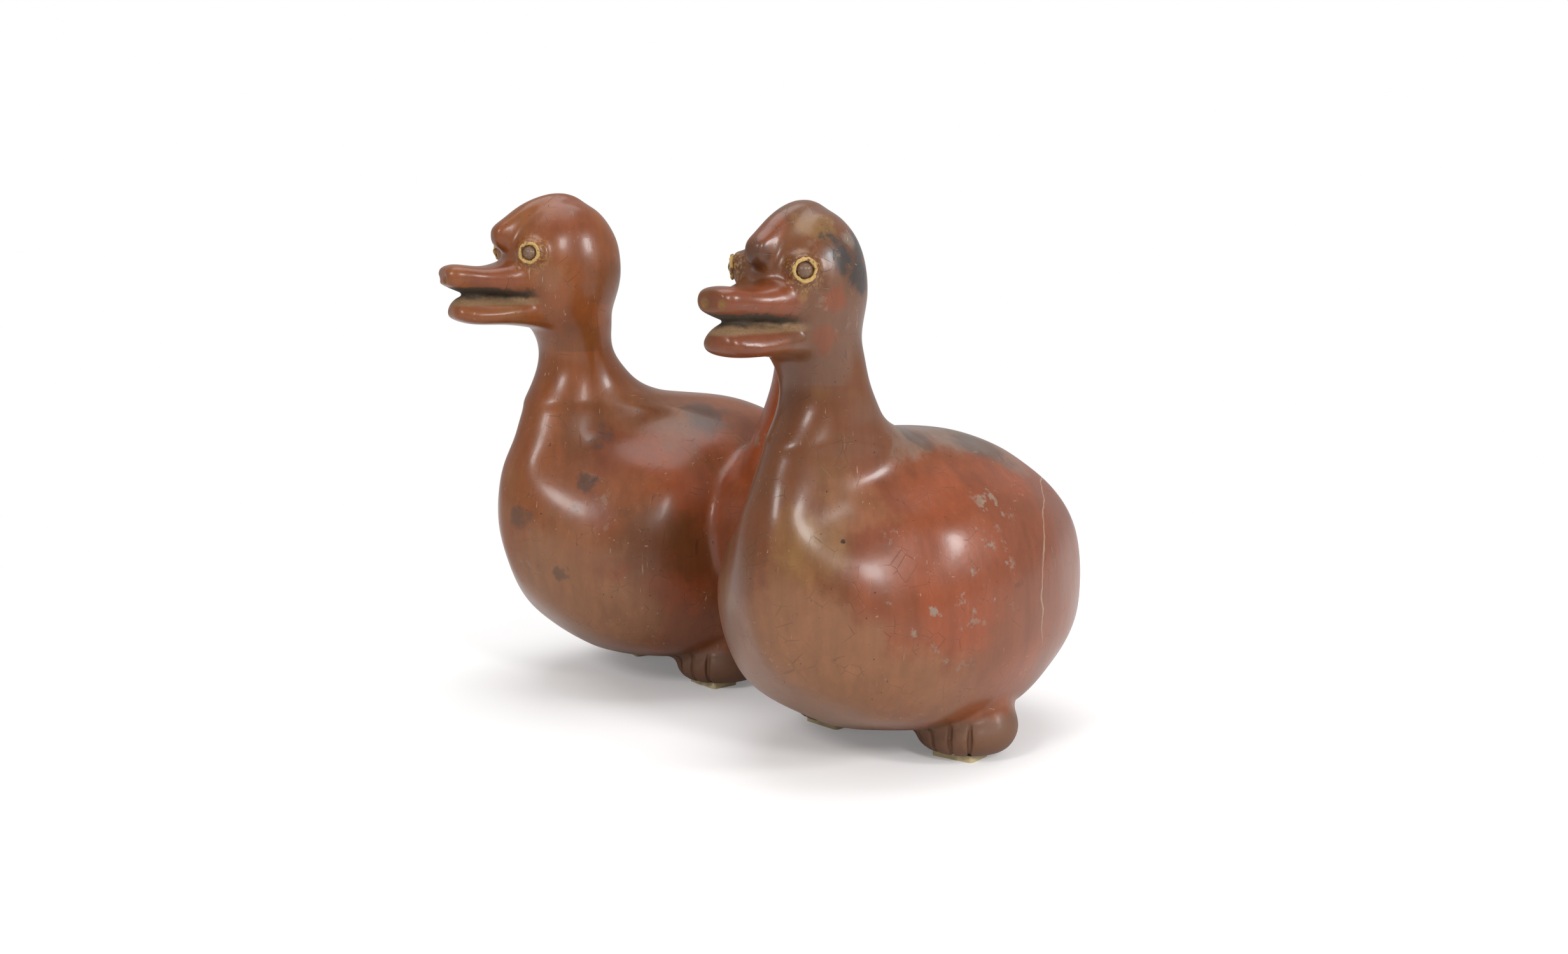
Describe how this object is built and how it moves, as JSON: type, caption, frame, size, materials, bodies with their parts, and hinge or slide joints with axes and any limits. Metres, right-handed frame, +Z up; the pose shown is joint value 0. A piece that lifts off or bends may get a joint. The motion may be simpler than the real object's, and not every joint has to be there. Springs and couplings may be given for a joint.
{
  "type": "double duck vessel",
  "caption": "Hollow clay vessel of two ducks side by side on stub feet, joined by a hollow bridge with a flared spout rising between their backs.",
  "frame": {"origin": "centre of the bounding box in plan, on the plane that the four pads stand on", "axes": "+Z up; the ducks look towards -Y, each splayed outwards; +X towards the left duck, along the longest extent, and x = 0 is the plane between the ducks"},
  "size_m": [0.2438, 0.1906, 0.2],
  "materials": {
    "red_slip_clay": "red slip burnished to a soft gloss, fired, with smoke clouds",
    "eye_clay": "applied clay with a yellowish deposit",
    "plain_clay": "smoothed, hardly burnished brown clay",
    "felt_pad": "cream felt"
  },
  "bodies": {
    "root": {"bridge": "red_slip_clay", "left_body": "red_slip_clay", "left_crest": "red_slip_clay", "left_head": "red_slip_clay", "left_inner_eye_ring": "eye_clay", "left_inner_foot": "plain_clay", "left_inner_pad": "felt_pad", "left_inner_pupil": "eye_clay", "left_lower_bill": "red_slip_clay", "left_neck": "red_slip_clay", "left_outer_eye_ring": "eye_clay", "left_outer_foot": "plain_clay", "left_outer_pad": "felt_pad", "left_outer_pupil": "eye_clay", "left_tail": "red_slip_clay", "left_upper_bill": "red_slip_clay", "right_body": "red_slip_clay", "right_crest": "red_slip_clay", "right_head": "red_slip_clay", "right_inner_eye_ring": "eye_clay", "right_inner_foot": "plain_clay", "right_inner_pad": "felt_pad", "right_inner_pupil": "eye_clay", "right_lower_bill": "red_slip_clay", "right_neck": "red_slip_clay", "right_outer_eye_ring": "eye_clay", "right_outer_foot": "plain_clay", "right_outer_pad": "felt_pad", "right_outer_pupil": "eye_clay", "right_tail": "red_slip_clay", "right_upper_bill": "red_slip_clay", "spout": "red_slip_clay", "spout_collar": "red_slip_clay"}
  },
  "joints": []
}
